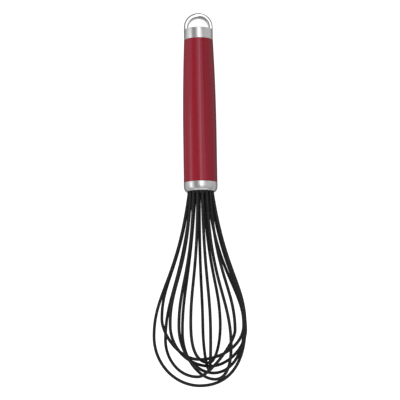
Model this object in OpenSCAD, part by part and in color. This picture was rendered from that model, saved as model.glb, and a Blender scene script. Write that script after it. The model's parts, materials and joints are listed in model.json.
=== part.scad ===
// Balloon whisk: a hollow grip with a steel ferrule and end cap, a hanging loop,
// and eight coated wire loops that share one ring of sixteen holes.
// It is drawn upright, with the mouth of the ferrule at height 0, the wires below it
// and its front towards -Y, and is then laid down on the table as a used whisk lies.

/* [Grip] */
// Length of the grip between the ferrule and the end cap
grip_len = 119.5; // [90:0.5:150]
// Largest diameter of the grip
grip_d = 27.7; // [27:0.1:32]
// Length over which the grip narrows towards the end cap
taper_len = 80; // [30:1:88]
// Diameter of the long bore inside the grip
bore_d = 18; // [10:0.5:18.5]

/* [End cap and hanging loop] */
// Diameter of the end cap and of the grip's narrow end
cap_d = 24.1; // [22:0.1:26]
// Height of the end cap
cap_h = 9; // [8.5:0.5:14]
// Radial thickness of the hanging loop
loop_thick = 3.6; // [3.4:0.1:4.5]
// Depth of the hanging loop, along its eye
loop_depth = 7.5; // [5.5:0.1:8]
// Length of the straight legs under the hanging loop's arch
leg_h = 1.7; // [1:0.1:10]

/* [Ferrule] */
// Diameter of the ferrule
ferrule_d = 27.8; // [27.5:0.1:33]
// Height of the ferrule
ferrule_h = 7.5; // [6.5:0.5:14]
// How far the ferrule narrows towards its mouth, along a quarter of an ellipse
ferrule_round = 2.3; // [1.5:0.1:2.4]

/* [Wires] */
// Diameter of the steel wire
core_d = 1.6; // [1:0.1:1.8]
// Diameter over the coat
coat_d = 2.5; // [2:0.1:2.5]
// Diameter of the ring of holes that holds the wires' ends
ring_d = 19.2; // [19:0.1:19.4]
// Angle at which the wires splay out of the ferrule
splay = 8; // [4:0.5:12]
// The same for the upper wires, which are bent less there
upper_splay = 3; // [2:0.5:8]

/* [Hidden] */
$fn = 64;
// Sheet thickness, the gap between fitted pieces, and how far a cutting shape runs past a face
wall = 0.9;
gap = 0.05;
past = 1;

// Heights and radii along the whisk
grip_top = ferrule_h + grip_len;
cap_top = grip_top + cap_h;
cap_bevel = 0.4;
taper_steps = 16;
arch_r = (cap_d - loop_thick) / 2;
arch_z = cap_top + leg_h;
loop_top = arch_z + cap_d / 2;

// Pieces inside the grip: the seat of the wires' ends with its seal, and the end plug, which
// takes the two tenons of the hanging loop, each [width, depth] across
holes = 16;
holder_r = 11.2;
holder_z = 2;
holder_len = 25;
core_in = 22;
resin_z = 0.4;
lip_z = 3;
ferrule_fall = 5;
plug_stem = 14;
tenon = [2.2, 4];
tenon_r = cap_d / 2 - wall - 1.5;
tenon_z = cap_top - 7.5;
tenon_root = 0.5;

// The wires: angle of the right-hand hole before the ring is turned, the widest point on the left, the lowest
// point, the widest point on the right, and how full the lower curve is on each side, as
// [down the left, along the left, down the right, along the right].
WIRES = [
  [0, [-39.6, 0, -118], [-2.5, 0, -157.5], [34.3, 0, -108], [0.55, 0.55, 0.68, 0.6]],
  [-45, [-31, 25, -120], [-4, -7, -150.5], [25.5, -25, -114], [0.45, 0.55, 0.3, 0.3]],
  [-22.5, [-33.5, 15.5, -103], [-2.5, 0, -136.5], [32.6, -15.5, -110], [0.35, 0.55, 0.55, 0.55]],
  [22.5, [-26, -20, -110], [5.5, 0, -142], [35, 13, -112], [0.55, 0.55, 0.5, 0.5]],
  [45, [-19, -25, -112], [8, -2, -147.5], [34, 23, -110], [0.55, 0.55, 0.55, 0.55]],
  [-67.5, [-17, 33.8, -114], [9.5, 0, -152.5], [22, -32, -126], [0.55, 0.55, 0.55, 0.55]],
  [67.5, [-9.5, -33, -112], [4.5, 0, -139.2], [14.5, 33, -106], [0.9, 0.5, 0.55, 0.4]],
  [-90, [0, 33.2, -108], [4.5, 0, -144.7], [6, -33, -114], [0.55, 0.55, 0.5, 0.4]]
];
ring_turn = 7;
// Steps along the upper and the lower curve of each side of a wire, and sides of its section
upper_steps = 10;
lower_steps = 8;
sides = 8;
// How far the upper curve keeps the direction of each end, as a share of its depth
mouth_hold = 0.62;
belly_hold = 0.3;
// Where the lowest wire touches the table: how far below the mouth, and how much nearer to
// the axis than the outermost of the widest points
touch_depth = 102;
touch_inset = 0.8;

// ---- Routes of the wires -------------------------------------------------------------

function unit(v) = v / norm(v);
function flat(v) = [v[0], v[1], 0];
function hole_at(angle) = ring_d / 2 * [cos(angle), sin(angle), 0];
function splay_at(angle) = sin(angle) < -0.3 ? upper_splay : splay;

// Points after the first one on a cubic curve
function curve(a, b, c, d, steps) = [
  for (i = [1:steps])
    let (t = i / steps, s = 1 - t)
      a * s * s * s + b * 3 * s * s * t + c * 3 * s * t * t + d * t * t * t
];

// One side of a loop, from its hole down to its lowest point
function side_route(angle, belly, tip, along, full) =
  let (
    hole = hole_at(angle),
    lean = splay_at(angle),
    out = [cos(angle) * sin(lean), sin(angle) * sin(lean), -cos(lean)],
    deep = -belly[2],
    low = belly[2] - tip[2],
    reach = abs((tip - belly) * along)
  )
  concat(
    [hole],
    curve(hole, hole + out * deep * mouth_hold, belly + [0, 0, deep * belly_hold],
      belly, upper_steps),
    curve(belly, belly - [0, 0, low * full[0]], tip + along * reach * full[1],
      tip, lower_steps)
  );

function backwards(list) = [for (i = [len(list) - 1:-1:0]) list[i]];

// The whole loop from the left hole to the right hole, with straight ends up to height z
function route(w, z) =
  let (
    across = unit(flat(w[3] - w[1])),
    turn = w[0] + ring_turn,
    left = side_route(turn + 180, w[1], w[2], -across, [w[4][0], w[4][1]]),
    right = side_route(turn, w[3], w[2], across, [w[4][2], w[4][3]])
  )
  concat(
    [left[0] + [0, 0, z]],
    left,
    [for (i = [len(right) - 2:-1:0]) right[i]],
    [right[0] + [0, 0, z]]
  );

function direction(p, i) = unit(p[min(i + 1, len(p) - 1)] - p[max(i - 1, 0)]);

// A ring of corners round each point of a route; side_dir is square to the loop
function rings(p, side_dir, r) = [
  for (i = [0:len(p) - 1])
    let (
      t = direction(p, i),
      u = unit(side_dir - t * (side_dir * t)),
      v = cross(t, u)
    )
    for (k = [0:sides - 1]) p[i] + r * (u * cos(k * 360 / sides) + v * sin(k * 360 / sides))
];

// Four-cornered faces between one ring and the next, starting at corner number base
function skin(count, base, inside) = [
  for (i = [0:count - 2], k = [0:sides - 1])
    let (
      a = base + i * sides + k,
      b = base + i * sides + (k + 1) % sides
    )
    inside ? [a, b, b + sides, a + sides] : [a, a + sides, b + sides, b]
];

// Faces that close the end of a tube between its outer ring and its inner ring
function rim(outer, inner, flip) = [
  for (k = [0:sides - 1])
    let (n = (k + 1) % sides)
      flip ? [outer + k, outer + n, inner + n, inner + k]
        : [outer + k, inner + k, inner + n, outer + n]
];

module solid_wire(p, side_dir, r) {
  count = len(p);
  last = (count - 1) * sides;
  polyhedron(
    rings(p, side_dir, r),
    concat(
      skin(count, 0, false),
      [[for (k = [0:sides - 1]) k]],
      [[for (k = [sides - 1:-1:0]) last + k]]
    )
  );
}

module hollow_wire(p, side_dir, outer_r, inner_r) {
  count = len(p);
  corners = count * sides;
  polyhedron(
    concat(rings(p, side_dir, outer_r), rings(p, side_dir, inner_r)),
    concat(
      skin(count, 0, false),
      skin(count, corners, true),
      rim(0, corners, true),
      rim(corners - sides, 2 * corners - sides, false)
    )
  );
}

function side_of(w) = cross(unit(flat(w[3] - w[1])), [0, 0, 1]);

// ---- Laying the whisk on the table ------------------------------------------------------

// The head is wider than the grip, so the whisk lies tilted, on its lowest wires and its cap
rest_r = max([for (w = WIRES) max(w[1][1], w[3][1])]) + coat_d / 2 - touch_inset;
rest_tilt = asin((rest_r - cap_d / 2) / (cap_top + touch_depth));

function laid_y(p) = p[2] * cos(rest_tilt) - p[1] * sin(rest_tilt);
function laid_z(p) = -p[1] * cos(rest_tilt) - p[2] * sin(rest_tilt);

all_points = [for (w = WIRES) each route(w, 0)];
all_x = [for (p = all_points) p[0]];
lift = coat_d / 2 - min([for (p = all_points) laid_z(p)]);
mid_x = (min(all_x) + max(all_x)) / 2;
mid_y = (loop_top * cos(rest_tilt) + min([for (p = all_points) laid_y(p)]) - coat_d / 2) / 2;

module laid() {
  translate([-mid_x, -mid_y, lift])
    rotate([-90 - rest_tilt, 0, 0])
      children();
}

// ---- Hanging loop and end cap -------------------------------------------------------------

// Section of the loop's band: flat inside and outside, crowned on its two faces
module band_section() {
  intersection() {
    circle(d = loop_depth);
    square([loop_thick, loop_depth], center = true);
  }
}

// A block at the place of each tenon, from height low to height high
module tenons(low, high, grow = 0) {
  for (s = [-1, 1])
    translate([s * tenon_r, 0, (low + high) / 2])
      cube([tenon[0] + grow, tenon[1] + grow, high - low], center = true);
}

module hanging_loop() {
  color("silver") laid() {
    translate([0, 0, arch_z])
      rotate([90, 0, 0])
        rotate_extrude(angle = 180)
          translate([arch_r, 0])
            band_section();
    for (s = [-1, 1])
      translate([s * arch_r, 0, cap_top])
        linear_extrude(leg_h)
          band_section();
    tenons(tenon_z, cap_top + tenon_root);
  }
}

module end_cap() {
  color("gainsboro") laid() difference() {
    union() {
      translate([0, 0, grip_top])
        cylinder(d = cap_d, h = cap_h - cap_bevel);
      translate([0, 0, cap_top - cap_bevel])
        cylinder(d1 = cap_d, d2 = cap_d - 2 * cap_bevel, h = cap_bevel);
    }
    translate([0, 0, grip_top - past])
      cylinder(d = cap_d - 2 * wall, h = cap_h - wall + past);
    tenons(cap_top - wall - past, cap_top + past, 2 * gap);
  }
}

// Moulded plug that holds the loop's tenons and joins the cap to the grip
module end_plug() {
  color("dimgray") laid() difference() {
    union() {
      translate([0, 0, grip_top])
        cylinder(d = cap_d - 2 * wall - 2 * gap, h = cap_h - wall);
      translate([0, 0, grip_top - plug_stem])
        cylinder(d = bore_d - 2 * gap, h = plug_stem);
    }
    tenons(tenon_z, cap_top);
  }
}

// ---- Grip -------------------------------------------------------------------------------------

// Half outline of the grip's outside: straight for most of its length, then an arc that
// narrows it to the cap
module grip_outline() {
  straight = grip_len - taper_len;
  fall = (grip_d - cap_d) / 2;
  arc_r = (taper_len * taper_len + fall * fall) / (2 * fall);
  polygon([
    [0, 0],
    [grip_d / 2, 0],
    for (k = [0:taper_steps])
      let (up = taper_len * k / taper_steps)
        [grip_d / 2 - arc_r + sqrt(arc_r * arc_r - up * up), straight + up],
    [0, grip_len]
  ]);
}

module handle_grip() {
  color("firebrick") laid() difference() {
    union() {
      translate([0, 0, ferrule_h])
        rotate_extrude()
          grip_outline();
      translate([0, 0, lip_z])
        cylinder(d = ferrule_d - 2 * wall - 2 * gap, h = ferrule_h - lip_z + past);
    }
    cylinder(r = holder_r + gap, h = holder_z + holder_len);
    cylinder(d = bore_d, h = grip_top + past);
  }
}

// ---- Ferrule and the wires' seat -----------------------------------------------------------------

module ferrule() {
  flat_r = ferrule_d / 2 - ferrule_round;
  color("lightgray") laid() difference() {
    rotate_extrude() {
      square([flat_r, ferrule_h]);
      translate([0, ferrule_fall])
        square([ferrule_d / 2, ferrule_h - ferrule_fall]);
      intersection() {
        translate([flat_r, ferrule_fall])
          scale([ferrule_round / ferrule_fall, 1])
            circle(r = ferrule_fall);
        translate([flat_r - past, 0])
          square([ferrule_round + past, ferrule_fall + past]);
      }
    }
    translate([0, 0, -past])
      cylinder(r = holder_r + gap, h = ferrule_h + 2 * past);
    translate([0, 0, lip_z])
      cylinder(d = ferrule_d - 2 * wall, h = ferrule_h);
  }
}

// The ring of holes, each of diameter d, from height low to height high
module hole_ring(d, low, high) {
  for (k = [0:holes - 1])
    rotate([0, 0, ring_turn + k * 360 / holes])
      translate([ring_d / 2, 0, low])
        cylinder(d = d, h = high - low);
}

// Moulded plug with one blind bore for each end of each wire
module wire_holder() {
  color("dimgray") laid() difference() {
    translate([0, 0, holder_z])
      cylinder(r = holder_r, h = holder_len);
    hole_ring(core_d, holder_z - past, core_in);
  }
}

// Cast resin that seals the mouth round the coated wires
module resin_seal() {
  color("black") laid() difference() {
    translate([0, 0, resin_z])
      cylinder(r = holder_r, h = holder_z - resin_z);
    hole_ring(coat_d, resin_z - past, holder_z + past);
  }
}

// ---- Wires ---------------------------------------------------------------------------------------

module wire_core(i) {
  w = WIRES[i];
  color("silver") laid() solid_wire(route(w, core_in), side_of(w), core_d / 2);
}

module wire_coat(i) {
  w = WIRES[i];
  color("black") laid() hollow_wire(route(w, holder_z), side_of(w), coat_d / 2, core_d / 2);
}

hanging_loop();
end_cap();
end_plug();
handle_grip();
ferrule();
wire_holder();
resin_seal();
for (i = [0:len(WIRES) - 1]) {
  wire_core(i);
  wire_coat(i);
}
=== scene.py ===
"""The looks of the balloon whisk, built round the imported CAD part.

Sizes are in metres, and angles in radians, except in the table of wires."""

import json
from math import asin, atan2, cos, pi, radians, sin, sqrt, tan

import bmesh
import bpy
from mathutils import Matrix, Vector


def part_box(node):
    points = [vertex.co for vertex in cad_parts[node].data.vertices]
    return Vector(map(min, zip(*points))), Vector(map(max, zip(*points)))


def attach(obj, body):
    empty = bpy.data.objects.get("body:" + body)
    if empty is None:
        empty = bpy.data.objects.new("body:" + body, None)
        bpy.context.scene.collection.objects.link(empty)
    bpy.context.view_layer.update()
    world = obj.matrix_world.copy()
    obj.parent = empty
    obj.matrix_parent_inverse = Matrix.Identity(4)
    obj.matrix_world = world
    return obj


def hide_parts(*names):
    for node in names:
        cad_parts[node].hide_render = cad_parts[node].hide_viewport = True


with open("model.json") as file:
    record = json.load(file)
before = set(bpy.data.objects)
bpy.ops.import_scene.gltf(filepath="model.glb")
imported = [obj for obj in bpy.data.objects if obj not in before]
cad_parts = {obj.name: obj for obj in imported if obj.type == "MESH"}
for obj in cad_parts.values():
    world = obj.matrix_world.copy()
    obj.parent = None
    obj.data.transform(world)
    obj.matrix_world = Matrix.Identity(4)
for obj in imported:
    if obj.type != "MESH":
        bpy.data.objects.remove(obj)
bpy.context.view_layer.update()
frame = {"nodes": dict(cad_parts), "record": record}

MM = 0.001

# ---- The whisk's own upright frame -----------------------------------------------------
# Pieces are modelled upright, with the ferrule's mouth at height 0 and the wires below it,
# as in the CAD source, and LAID lays them down on the table.


def half_width(node):
    """Half of a CAD node's extent across the whisk."""
    low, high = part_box(node)
    return (high.x - low.x) / 2


def middle(node):
    """The middle of a CAD node's box."""
    low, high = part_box(node)
    return (low + high) / 2


# Sizes with the same values as in the CAD source
FERRULE_H = 7.5 * MM
FERRULE_ROUND = 2.3 * MM
FERRULE_FALL = 5 * MM
GRIP_LEN = 119.5 * MM
TAPER_LEN = 80 * MM
CAP_H = 9 * MM
LEG_H = 1.7 * MM
LOOP_THICK = 3.6 * MM
LOOP_DEPTH = 7.5 * MM
WALL = 0.9 * MM
GAP = 0.05 * MM
BORE_R = 9 * MM
LIP_Z = 3 * MM
HOLDER_Z = 2 * MM
HOLDER_LEN = 25 * MM
CORE_IN = 22 * MM
CORE_R = 0.8 * MM
COAT_R = 1.25 * MM
RING_R = 9.6 * MM
RING_TURN = radians(7)
SPLAY = radians(8)
UPPER_SPLAY = radians(3)

# Radii of the rounded edges
RIM_EDGE = 0.08 * MM
CRISP_EDGE = 0.12 * MM
FINE_EDGE = 0.2 * MM
INNER_EDGE = 0.3 * MM
SOFT_EDGE = 0.45 * MM
BAND_EDGE = 0.5 * MM

# Radii taken from the CAD's boxes, and what follows from them and from the sizes above
GRIP_R = half_width("handle_grip")
CAP_R = half_width("end_cap")
FERRULE_R = half_width("ferrule")
HOLDER_R = half_width("wire_holder")
GRIP_TOP = FERRULE_H + GRIP_LEN
CAP_TOP = GRIP_TOP + CAP_H
ARCH_R = CAP_R - LOOP_THICK / 2
ARCH_Z = CAP_TOP + LEG_H

eye = next(m for m in frame["record"]["mounts"] if m["name"] == "hanging_eye")
tilt = asin(eye["axis"][1])
lay_down = Matrix.Rotation(-pi / 2 - tilt, 4, "X")
holder_middle = Vector((0, 0, HOLDER_Z + HOLDER_LEN / 2))
LAID = Matrix.Translation(middle("wire_holder") - lay_down @ holder_middle) @ lay_down


# ---- Mesh helpers ----------------------------------------------------------------------

# Points closer than WELD are joined, and an edge that folds by more than SHARP_FOLD stays sharp.
WELD = MM / 1000
SHARP_FOLD = radians(35)
BRUSH_MAP = "around"


def rounded(corners, steps=6):
    """An outline through (x, y, radius) corners, with an arc in place of each corner with a radius."""
    outline = []
    for i, (x, y, radius) in enumerate(corners):
        if not radius:
            outline.append((x, y))
            continue
        corner = Vector((x, y))
        before = (Vector(corners[i - 1][:2]) - corner).normalized()
        after = (Vector(corners[(i + 1) % len(corners)][:2]) - corner).normalized()
        half = before.angle(after) / 2
        centre = corner + (before + after).normalized() * radius / sin(half)
        start = (corner + before * radius / tan(half) - centre).normalized()
        end = (corner + after * radius / tan(half) - centre).normalized()
        for k in range(steps + 1):
            outline.append(tuple(centre + start.slerp(end, k / steps) * radius))
    return outline


def grid_faces(rings, size, close_rings):
    """Quads between rings of size points each, where ring i starts at point i * size."""
    for i in range(rings if close_rings else rings - 1):
        for k in range(size):
            here, there = i * size, (i + 1) % rings * size
            yield here + k, here + (k + 1) % size, there + (k + 1) % size, there + k


def wrap_uv(work):
    """Gives a mesh the coordinates (turns round the axis, height), which say how steel was brushed."""
    layer = work.loops.layers.uv.new(BRUSH_MAP)
    for face in work.faces:
        centre = face.calc_center_median()
        base = atan2(centre.y, centre.x)
        for loop in face.loops:
            point = loop.vert.co
            ahead = (atan2(point.y, point.x) - base + pi) % (2 * pi) - pi
            loop[layer].uv = ((base + ahead) / (2 * pi), point.z)


def piece(name, verts, faces, material, slot, *nodes):
    """A smooth object made upright and laid on the table, which stands for CAD nodes."""
    mesh = bpy.data.meshes.new(name)
    mesh.from_pydata(verts, [], faces)
    work = bmesh.new()
    work.from_mesh(mesh)
    bmesh.ops.remove_doubles(work, verts=work.verts, dist=WELD)
    bmesh.ops.recalc_face_normals(work, faces=work.faces)
    wrap_uv(work)
    work.to_mesh(mesh)
    work.free()
    mesh.transform(LAID)
    mesh.polygons.foreach_set("use_smooth", [True] * len(mesh.polygons))
    mesh.set_sharp_from_angle(angle=SHARP_FOLD)
    mesh.materials.append(material)
    made = bpy.data.objects.new(name, mesh)
    bpy.context.scene.collection.objects.link(made)
    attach(made, "root")
    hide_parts(*nodes)


def lathe(outline, segments=144):
    """A closed (radius, height) outline turned round the whisk's axis."""
    turns = [2 * pi * s / segments for s in range(segments)]
    verts = [(r * cos(a), r * sin(a), z) for a in turns for r, z in outline]
    return verts, list(grid_faces(segments, len(outline), True))


# ---- Routes of the wires ---------------------------------------------------------------
# The same eight loops as in the CAD source, in millimetres and degrees: the angle of the
# right-hand hole before the ring is turned, the widest point on the left, the lowest point, the
# widest point on the right, and how full the lower curve is, downwards and along, on each side.
WIRES = [
    (0, (-39.6, 0, -118), (-2.5, 0, -157.5), (34.3, 0, -108), (0.55, 0.55, 0.68, 0.6)),
    (-45, (-31, 25, -120), (-4, -7, -150.5), (25.5, -25, -114), (0.45, 0.55, 0.3, 0.3)),
    (-22.5, (-33.5, 15.5, -103), (-2.5, 0, -136.5), (32.6, -15.5, -110), (0.35, 0.55, 0.55, 0.55)),
    (22.5, (-26, -20, -110), (5.5, 0, -142), (35, 13, -112), (0.55, 0.55, 0.5, 0.5)),
    (45, (-19, -25, -112), (8, -2, -147.5), (34, 23, -110), (0.55, 0.55, 0.55, 0.55)),
    (-67.5, (-17, 33.8, -114), (9.5, 0, -152.5), (22, -32, -126), (0.55, 0.55, 0.55, 0.55)),
    (67.5, (-9.5, -33, -112), (4.5, 0, -139.2), (14.5, 33, -106), (0.9, 0.5, 0.55, 0.4)),
    (-90, (0, 33.2, -108), (4.5, 0, -144.7), (6, -33, -114), (0.55, 0.55, 0.5, 0.4)),
]

# How far the upper curve keeps the direction of each end, as a share of its depth
MOUTH_HOLD = 0.62
BELLY_HOLD = 0.3

# Holes whose rays have a lower y than this are on the side that lies uppermost.
UPPER_RAY_Y = -0.3

# Steps along the upper and the lower curve of each side, and sides of each wire's section
UPPER_STEPS = 40
LOWER_STEPS = 32
CORE_SIDES = 10
COAT_SIDES = 16
DOWN = Vector((0, 0, -1))


def curve(a, b, c, d, steps):
    """Points after the first one on a cubic curve."""
    for i in range(1, steps + 1):
        t = i / steps
        s = 1 - t
        yield a * s**3 + b * 3 * s * s * t + c * 3 * s * t * t + d * t**3


def side_route(angle, belly, tip, along, full):
    """One side of a loop, from its hole down to its lowest point."""
    ray = Vector((cos(angle), sin(angle), 0))
    hole = ray * RING_R
    lean = UPPER_SPLAY if ray.y < UPPER_RAY_Y else SPLAY
    out = ray * sin(lean) + DOWN * cos(lean)
    deep, low = -belly.z, belly.z - tip.z
    reach = abs((tip - belly).dot(along))
    leave = hole + out * deep * MOUTH_HOLD
    arrive = belly - DOWN * deep * BELLY_HOLD
    upper = curve(hole, leave, arrive, belly, UPPER_STEPS)
    sink = belly + DOWN * low * full[0]
    sweep = tip + along * reach * full[1]
    lower = curve(belly, sink, sweep, tip, LOWER_STEPS)
    return [hole, *upper, *lower]


def route(wire, inside):
    """A loop from the left hole to the right one, and the direction square to its plane.

    Its straight ends go up to the height inside."""
    angle, left, tip, right, full = wire
    angle = radians(angle) + RING_TURN
    left, tip, right = (Vector(p) * MM for p in (left, tip, right))
    across = Vector((right.x - left.x, right.y - left.y, 0)).normalized()
    down = side_route(angle + pi, left, tip, -across, full[:2])
    up = side_route(angle, right, tip, across, full[2:])[::-1]
    points = [down[0] - DOWN * inside, *down, *up[1:], up[-1] - DOWN * inside]
    return points, across.cross(-DOWN)


def tube(points, side, radius, sides):
    """Rings of corners round a route; side is square to the plane of the loop."""
    verts = []
    for i, point in enumerate(points):
        along = (points[min(i + 1, len(points) - 1)] - points[max(i - 1, 0)]).normalized()
        u = (side - along * side.dot(along)).normalized()
        v = along.cross(u)
        for k in range(sides):
            turn = 2 * pi * k / sides
            verts.append(point + (u * cos(turn) + v * sin(turn)) * radius)
    return verts


def rod(points, side, radius, sides):
    """A solid wire."""
    verts = tube(points, side, radius, sides)
    faces = list(grid_faces(len(points), sides, False))
    ends = [tuple(range(sides)), tuple(range(len(verts) - sides, len(verts)))]
    return verts, faces + ends


def sleeve(points, side, outer, inner, sides):
    """A hollow coat, closed at each end by a flat rim."""
    outside, inside = tube(points, side, outer, sides), tube(points, side, inner, sides)
    faces = list(grid_faces(len(points), sides, False))
    shift = len(outside)
    faces += [tuple(v + shift for v in face) for face in faces]
    for start in (0, shift - sides):
        for k in range(sides):
            a, b = start + k, start + (k + 1) % sides
            faces.append((a, b, b + shift, a + shift))
    return outside + inside, faces


# ---- Materials -------------------------------------------------------------------------

# Places of the Mix node's colour sockets, which share their names with its other sockets
MIX_FROM = 6
MIX_TO = 7
MIX_RESULT = 2

# Noise keeps mostly between these two values.
NOISE_LOW = 0.3
NOISE_HIGH = 0.7


class Look:
    """A Principled material with short calls for the nodes that the whisk's surfaces use."""

    def __init__(self, name, **constants):
        self.material = bpy.data.materials.new(name)
        self.material.use_nodes = True
        self.nodes = self.material.node_tree.nodes
        self.links = self.material.node_tree.links
        self.shader = self.nodes["Principled BSDF"]
        for socket, value in constants.items():
            self.shader.inputs[socket.replace("_", " ")].default_value = value
        # place is each point in the whisk's own upright coordinates.
        coordinates = self.nodes.new("ShaderNodeTexCoord")
        upright = LAID.inverted()
        place = self.mapped(coordinates.outputs["Object"], "Rotation", upright.to_euler())
        self.place = self.mapped(place, "Location", upright.translation)

    def mapped(self, vector, change, value):
        """Coordinates after one change: Location, Rotation or Scale."""
        mapping = self.nodes.new("ShaderNodeMapping")
        mapping.inputs[change].default_value = value
        self.links.new(vector, mapping.inputs["Vector"])
        return mapping.outputs["Vector"]

    def stretched(self, x, y, z):
        """The whisk's own coordinates, scaled along each of its axes."""
        return self.mapped(self.place, "Scale", (x, y, z))

    def noise(self, scale, detail=3, roughness=0.5, where=None):
        """Soft random values, in the whisk's own coordinates unless where gives others."""
        node = self.nodes.new("ShaderNodeTexNoise")
        node.inputs["Scale"].default_value = scale
        node.inputs["Detail"].default_value = detail
        node.inputs["Roughness"].default_value = roughness
        self.links.new(where or self.place, node.inputs["Vector"])
        return node.outputs["Fac"]

    def spread(self, noise, low, high):
        """A value between low and high that follows a noise."""
        node = self.nodes.new("ShaderNodeMapRange")
        self.links.new(noise, node.inputs["Value"])
        node.inputs["From Min"].default_value = NOISE_LOW
        node.inputs["From Max"].default_value = NOISE_HIGH
        node.inputs["To Min"].default_value = low
        node.inputs["To Max"].default_value = high
        return node.outputs["Result"]

    def blend(self, factor, one, other):
        """A colour between one and other."""
        node = self.nodes.new("ShaderNodeMix")
        node.data_type = "RGBA"
        self.links.new(factor, node.inputs["Factor"])
        node.inputs[MIX_FROM].default_value = (*one, 1)
        node.inputs[MIX_TO].default_value = (*other, 1)
        return node.outputs[MIX_RESULT]

    def total(self, one, other):
        """The sum of two values."""
        node = self.nodes.new("ShaderNodeMath")
        node.operation = "ADD"
        self.links.new(one, node.inputs[0])
        self.links.new(other, node.inputs[1])
        return node.outputs["Value"]

    def bump(self, height, strength, distance):
        """Small relief that follows a height."""
        node = self.nodes.new("ShaderNodeBump")
        node.inputs["Strength"].default_value = strength
        node.inputs["Distance"].default_value = distance
        self.links.new(height, node.inputs["Height"])
        self.links.new(node.outputs["Normal"], self.shader.inputs["Normal"])

    def set(self, socket, value):
        """Links a value that varies over the surface to one of the shader's sockets."""
        self.links.new(value, self.shader.inputs[socket])


def chrome():
    """Polished plate with faint smudges and hairline scratches."""
    look = Look("chrome", Metallic=1.0)
    smudge = look.noise(scale=180, detail=4, roughness=0.6)
    scratches = look.noise(scale=2600, detail=2, where=look.stretched(1, 1, 0.15))
    look.set("Base Color", look.blend(smudge, (0.74, 0.74, 0.755), (0.86, 0.86, 0.87)))
    look.set("Roughness", look.spread(smudge, low=0.05, high=0.12))
    look.bump(scratches, strength=0.03, distance=0.02 * MM)
    return look.material


def turned_steel():
    """Stainless sheet with fine lines that run round the axis."""
    look = Look("brushed_steel", Metallic=1.0, Anisotropic=0.5, Anisotropic_Rotation=0.25)
    lines = look.noise(scale=2200, roughness=0.6, where=look.stretched(0.03, 0.03, 1))
    cloud = look.noise(scale=90)
    fine = look.spread(lines, low=0.29, high=0.36)
    broad = look.spread(cloud, low=0.0, high=0.04)
    look.set("Base Color", look.blend(cloud, (0.77, 0.775, 0.77), (0.84, 0.845, 0.84)))
    look.set("Roughness", look.total(fine, broad))
    tangent = look.nodes.new("ShaderNodeTangent")
    tangent.direction_type = "UV_MAP"
    tangent.uv_map = BRUSH_MAP
    look.set("Tangent", tangent.outputs["Tangent"])
    look.bump(lines, strength=0.05, distance=0.01 * MM)
    return look.material


def red_plastic():
    """Deep red moulded plastic under a clear gloss, with slight flow marks and handling haze."""
    look = Look("red_abs", IOR=1.45, Specular_Tint=(1.0, 0.86, 1.0, 1.0))
    flow = look.noise(scale=38, roughness=0.55, where=look.stretched(1, 1, 0.25))
    haze = look.noise(scale=320, detail=4, roughness=0.6)
    grain = look.noise(scale=1500)
    look.set("Base Color", look.blend(flow, (0.079, 0.0015, 0.0046), (0.093, 0.0022, 0.0066)))
    look.set("Roughness", look.spread(haze, low=0.12, high=0.18))
    look.bump(grain, strength=0.03, distance=0.01 * MM)
    return look.material


def black_silicone():
    """Satin black coat with a fine moulded grain and lighter rubbed patches."""
    look = Look("black_coat", IOR=1.3)
    rub = look.noise(scale=140, detail=4, roughness=0.6)
    grain = look.noise(scale=3200, detail=2)
    look.set("Base Color", look.blend(rub, (0.002, 0.002, 0.0022), (0.005, 0.005, 0.0054)))
    look.set("Roughness", look.spread(rub, low=0.36, high=0.5))
    look.bump(grain, strength=0.15, distance=0.02 * MM)
    return look.material


def drawn_wire():
    """Bare stainless wire with fine lines that run along the whisk."""
    look = Look("spring_wire", Metallic=1.0)
    lines = look.noise(scale=900, roughness=0.6, where=look.stretched(1, 1, 0.05))
    look.set("Base Color", look.blend(lines, (0.5, 0.5, 0.5), (0.66, 0.66, 0.65)))
    look.set("Roughness", look.spread(lines, low=0.22, high=0.4))
    look.bump(lines, strength=0.1, distance=0.01 * MM)
    return look.material


def dark_plastic(name, colour, roughness):
    """Matte moulded or cast plastic, a little uneven in tone and in shine."""
    look = Look(name)
    cloud = look.noise(scale=220, detail=4, roughness=0.6)
    grain = look.noise(scale=1800, roughness=0.6)
    paler = tuple(1.7 * shade for shade in colour)
    look.set("Base Color", look.blend(cloud, colour, paler))
    look.set("Roughness", look.spread(cloud, low=roughness, high=roughness + 0.15))
    look.bump(grain, strength=0.2, distance=0.03 * MM)
    return look.material


# ---- The pieces ------------------------------------------------------------------------


def grip_outline():
    """Straight for its lower third, then an arc that narrows it to the cap, over a stepped bore."""
    straight = FERRULE_H + GRIP_LEN - TAPER_LEN
    fall = GRIP_R - CAP_R
    arc_r = (TAPER_LEN**2 + fall**2) / (2 * fall)
    side = [(GRIP_R, FERRULE_H, SOFT_EDGE), (GRIP_R, straight, 0)]
    steps = 24
    for k in range(1, steps + 1):
        up = TAPER_LEN * k / steps
        side.append((GRIP_R - arc_r + sqrt(arc_r**2 - up**2), straight + up, 0))
    side[-1] = (CAP_R, GRIP_TOP, FINE_EDGE)
    spigot_r = FERRULE_R - WALL - GAP
    holder_top = HOLDER_Z + HOLDER_LEN
    seat_r = HOLDER_R + GAP
    inside = [(BORE_R, GRIP_TOP, 0), (BORE_R, holder_top, 0), (seat_r, holder_top, 0)]
    spigot = [(seat_r, LIP_Z, 0), (spigot_r, LIP_Z, 0), (spigot_r, FERRULE_H, 0)]
    return rounded(side + inside + spigot)


def cap_outline():
    """A cup with a flat roof, open towards the grip."""
    inner = CAP_R - WALL
    roof = CAP_TOP - WALL
    corners = [(CAP_R, GRIP_TOP, CRISP_EDGE), (CAP_R, CAP_TOP, SOFT_EDGE), (0, CAP_TOP, 0)]
    corners += [(0, roof, 0), (inner, roof, INNER_EDGE), (inner, GRIP_TOP, 0)]
    return rounded(corners)


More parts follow.
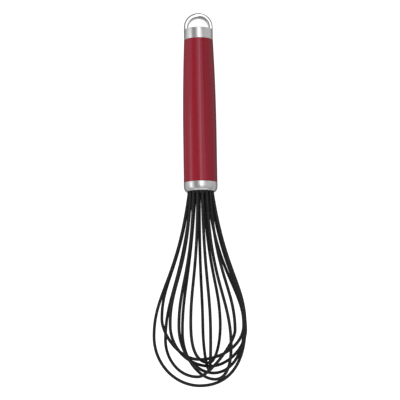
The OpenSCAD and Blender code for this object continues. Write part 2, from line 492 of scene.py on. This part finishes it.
def ferrule_outline():
    """A ring with a hollow top, which narrows to its mouth along a quarter of an ellipse."""
    mouth = HOLDER_R + GAP
    inner = FERRULE_R - WALL
    side = [(mouth, 0, RIM_EDGE)]
    steps = 16
    for k in range(steps):
        turn = pi / 2 * k / steps
        out = FERRULE_R - FERRULE_ROUND + FERRULE_ROUND * sin(turn)
        side.append((out, FERRULE_FALL * (1 - cos(turn)), 0))
    side += [(FERRULE_R, FERRULE_FALL, 0), (FERRULE_R, FERRULE_H, CRISP_EDGE)]
    side += [(inner, FERRULE_H, 0), (inner, LIP_Z, 0), (mouth, LIP_Z, 0)]
    return rounded(side)


def band_section():
    """The loop's band, as (outwards, depth): flat inside and outside, crowned front and back."""
    half, crown = LOOP_THICK / 2, LOOP_DEPTH / 2
    steps = 8
    front = []
    for k in range(steps + 1):
        out = -half + LOOP_THICK * k / steps
        edge = BAND_EDGE if k in (0, steps) else 0
        front.append((out, -sqrt(crown**2 - out**2), edge))
    back = [(-out, -depth, radius) for out, depth, radius in front]
    return rounded(front + back, steps=5)


def loop_mesh():
    """The band swept up one leg, round the arch and down the other leg.

    Each station is (x, z, outwards x, outwards z). The feet end inside the cap's roof."""
    section = band_section()
    foot = CAP_TOP - WALL / 2
    steps = 64
    stations = [(-ARCH_R, foot, -1, 0), (-ARCH_R, CAP_TOP, -1, 0)]
    for k in range(steps + 1):
        turn = pi - pi * k / steps
        c, s = cos(turn), sin(turn)
        stations.append((ARCH_R * c, ARCH_Z + ARCH_R * s, c, s))
    stations += [(ARCH_R, CAP_TOP, 1, 0), (ARCH_R, foot, 1, 0)]
    verts = []
    for x, z, outwards_x, outwards_z in stations:
        verts += [(x + outwards_x * out, depth, z + outwards_z * out) for out, depth in section]
    size = len(section)
    faces = list(grid_faces(len(stations), size, False))
    faces += [tuple(range(size)), tuple(range(len(verts) - size, len(verts)))]
    return verts, faces


steel = turned_steel()
coat_look = black_silicone()
core_look = drawn_wire()
nylon = dark_plastic("nylon", (0.03, 0.03, 0.03), 0.5)
resin = dark_plastic("resin", (0.012, 0.012, 0.012), 0.35)

piece("handle_shell", *lathe(grip_outline()), red_plastic(), "red_abs", "handle_grip")
piece("cap_shell", *lathe(cap_outline()), steel, "brushed_steel", "end_cap")
piece("ferrule_shell", *lathe(ferrule_outline()), steel, "brushed_steel", "ferrule")
piece("hanging_band", *loop_mesh(), chrome(), "chrome", "hanging_loop")
for number, wire in enumerate(WIRES, 1):
    points, side = route(wire, CORE_IN)
    body = rod(points, side, CORE_R, CORE_SIDES)
    piece(f"core_{number}", *body, core_look, "spring_wire", f"wire_core_{number}")
    points, side = route(wire, HOLDER_Z)
    body = sleeve(points, side, COAT_R, CORE_R, COAT_SIDES)
    piece(f"coat_{number}", *body, coat_look, "black_coat", f"wire_coat_{number}")

# The sealed inner pieces keep their CAD meshes and get materials of their own.
for node, look in (("end_plug", nylon), ("wire_holder", nylon), ("resin_seal", resin)):
    mesh = frame["nodes"][node].data
    mesh.materials.clear()
    mesh.materials.append(look)


# ---- Studio ----------------------------------------------------------------------------

# The camera looks down from above the wires, a little off square to the table. It aims just
# below the ferrule and a little to the left of the axis.
CAMERA_DISTANCE = 1.228
CAMERA_LEAN = radians(7.8) - tilt
CAMERA_ROLL = radians(0.88)
AIM_BELOW = 6.6 * MM
AIM_LEFT = 0.74 * MM
AIM = LAID @ Vector((0, 0, -AIM_BELOW)) - Vector((AIM_LEFT, 0, 0))

# The room as (height, grey level). Height 0 is straight down, 0.5 is level and 1 is straight up.
ROOM_LIGHT = 0.26
UNDER_LIGHT = 0.5
DARK_BAND = 0.16
ROOM_LEVELS = [
    (0.03, UNDER_LIGHT),
    (0.05, DARK_BAND),
    (0.16, DARK_BAND),
    (0.22, UNDER_LIGHT),
    (0.44, UNDER_LIGHT),
    (0.5, ROOM_LIGHT),
]

# The table's own glow keeps it white with almost no shadow. TABLE_HALF is half of its width.
TABLE_GLOW = 0.97
TABLE_HALF = 6


def add_camera():
    """A long lens that looks down on the whisk, with the hanging loop at the top of the view."""
    data = bpy.data.cameras.new("camera")
    data.sensor_width = 36
    data.lens = 135
    data.clip_start, data.clip_end = 0.01, 50
    camera = bpy.data.objects.new("camera", data)
    bpy.context.scene.collection.objects.link(camera)
    forward = Vector((0, sin(CAMERA_LEAN), -cos(CAMERA_LEAN)))
    turn = forward.to_track_quat("-Z", "Y").to_matrix().to_4x4()
    roll = Matrix.Rotation(-CAMERA_ROLL, 4, "Z")
    camera.matrix_world = Matrix.Translation(AIM - forward * CAMERA_DISTANCE) @ turn @ roll
    bpy.context.scene.camera = camera


def soft_box(name, place, size, radiance, gloss=True, turn=0.0):
    """A light aimed at the whisk, its size given across the whisk and along it.

    gloss says if shiny surfaces mirror it, and turn swings it round its own middle."""
    data = bpy.data.lights.new(name, "AREA")
    data.shape = "RECTANGLE"
    data.size, data.size_y = size
    data.energy = radiance * pi * size[0] * size[1]
    light = bpy.data.objects.new(name, data)
    bpy.context.scene.collection.objects.link(light)
    back = (Vector(place) - AIM).normalized()
    across = Vector((cos(turn), sin(turn), 0))
    across = (across - back * across.dot(back)).normalized()
    axes = Matrix((across, back.cross(across), back)).transposed()
    light.matrix_world = Matrix.Translation(place) @ axes.to_4x4()
    light.visible_camera = False
    light.visible_glossy = gloss


def add_world():
    """A plain grey room, paler below the table's level, with one dark band that edges mirror."""
    world = bpy.data.worlds.new("room")
    bpy.context.scene.world = world
    world.use_nodes = True
    nodes, links = world.node_tree.nodes, world.node_tree.links
    coordinates = nodes.new("ShaderNodeTexCoord")
    split = nodes.new("ShaderNodeSeparateXYZ")
    height = nodes.new("ShaderNodeMapRange")
    height.inputs["From Min"].default_value = -1
    bands = nodes.new("ShaderNodeValToRGB")
    ramp = bands.color_ramp.elements
    heights, levels = zip(*ROOM_LEVELS)
    ramp[0].position, ramp[1].position = heights[:2]
    for place in heights[2:]:
        ramp.new(place)
    for element, level in zip(ramp, levels):
        element.color = (level, level, level, 1)
    links.new(coordinates.outputs["Generated"], split.inputs["Vector"])
    links.new(split.outputs["Z"], height.inputs["Value"])
    links.new(height.outputs["Result"], bands.inputs["Fac"])
    links.new(bands.outputs["Color"], nodes["Background"].inputs["Color"])


def add_floor():
    """A plain pale light table, left out of mirror reflections so that polished edges stay dark."""
    glow = {"Emission_Color": (1, 1, 1, 1), "Emission_Strength": TABLE_GLOW}
    look = Look("table", Roughness=0.9, Specular_IOR_Level=0.0, **glow)
    cloud = look.noise(scale=3, detail=2)
    look.set("Base Color", look.blend(cloud, (0.1, 0.1, 0.1), (0.11, 0.11, 0.11)))
    mesh = bpy.data.meshes.new("table")
    work = bmesh.new()
    bmesh.ops.create_grid(work, x_segments=8, y_segments=8, size=TABLE_HALF)
    work.to_mesh(mesh)
    work.free()
    mesh.materials.append(look.material)
    floor = bpy.data.objects.new("table", mesh)
    bpy.context.scene.collection.objects.link(floor)
    floor.visible_glossy = False


add_camera()
add_world()
add_floor()
soft_box("fill", place=(-0.4, 0.0, 1.4), size=(4.4, 4.4), radiance=3.5, gloss=False)
soft_box("key", place=(0.26, 0.45, 1.4), size=(1.0, 1.6), radiance=0.75, turn=radians(35))
soft_box("key_strip", place=(0.12, 0.45, 1.4), size=(0.3, 1.4), radiance=1.5)
soft_box("left", place=(-1.22, 0.2, 0.46), size=(0.95, 1.6), radiance=0.55)
soft_box("left_strip", place=(-1.15, 0.05, 0.5), size=(0.26, 0.66), radiance=1.3)
soft_box("right", place=(1.2, 0.3, 0.55), size=(1.2, 1.6), radiance=0.3)
soft_box("head_end", place=(0.0, -1.3, 0.6), size=(2.4, 1.1), radiance=0.7)
bpy.context.scene.view_settings.view_transform = "Standard"

bpy.context.view_layer.update()
